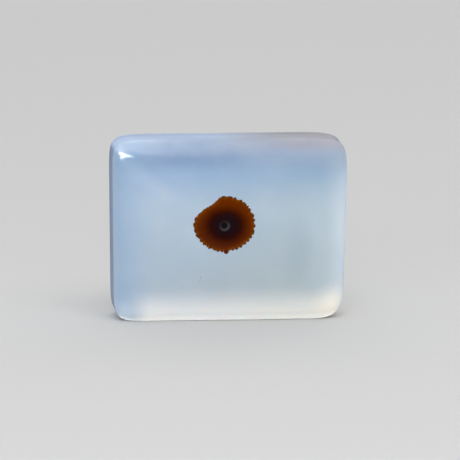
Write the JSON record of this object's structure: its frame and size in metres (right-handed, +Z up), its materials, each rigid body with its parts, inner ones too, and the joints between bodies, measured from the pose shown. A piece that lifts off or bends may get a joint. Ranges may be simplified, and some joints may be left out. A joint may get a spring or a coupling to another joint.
{
  "type": "dendritic agate specimen",
  "caption": "Polished rectangular cushion cabochon of milky agate with a round brown dendrite, standing on its flat lower edge.",
  "frame": {"origin": "on the surface that the stone stands on, under the middle of its bounding box", "axes": "+X along the stone's length, to the right as the domed face is seen; +Y through its thickness, towards the flat back; +Z up"},
  "size_m": [0.016, 0.0058, 0.0124],
  "materials": {
    "agate": "polished"
  },
  "bodies": {
    "root": {"agate_cabochon": "agate"}
  },
  "joints": []
}
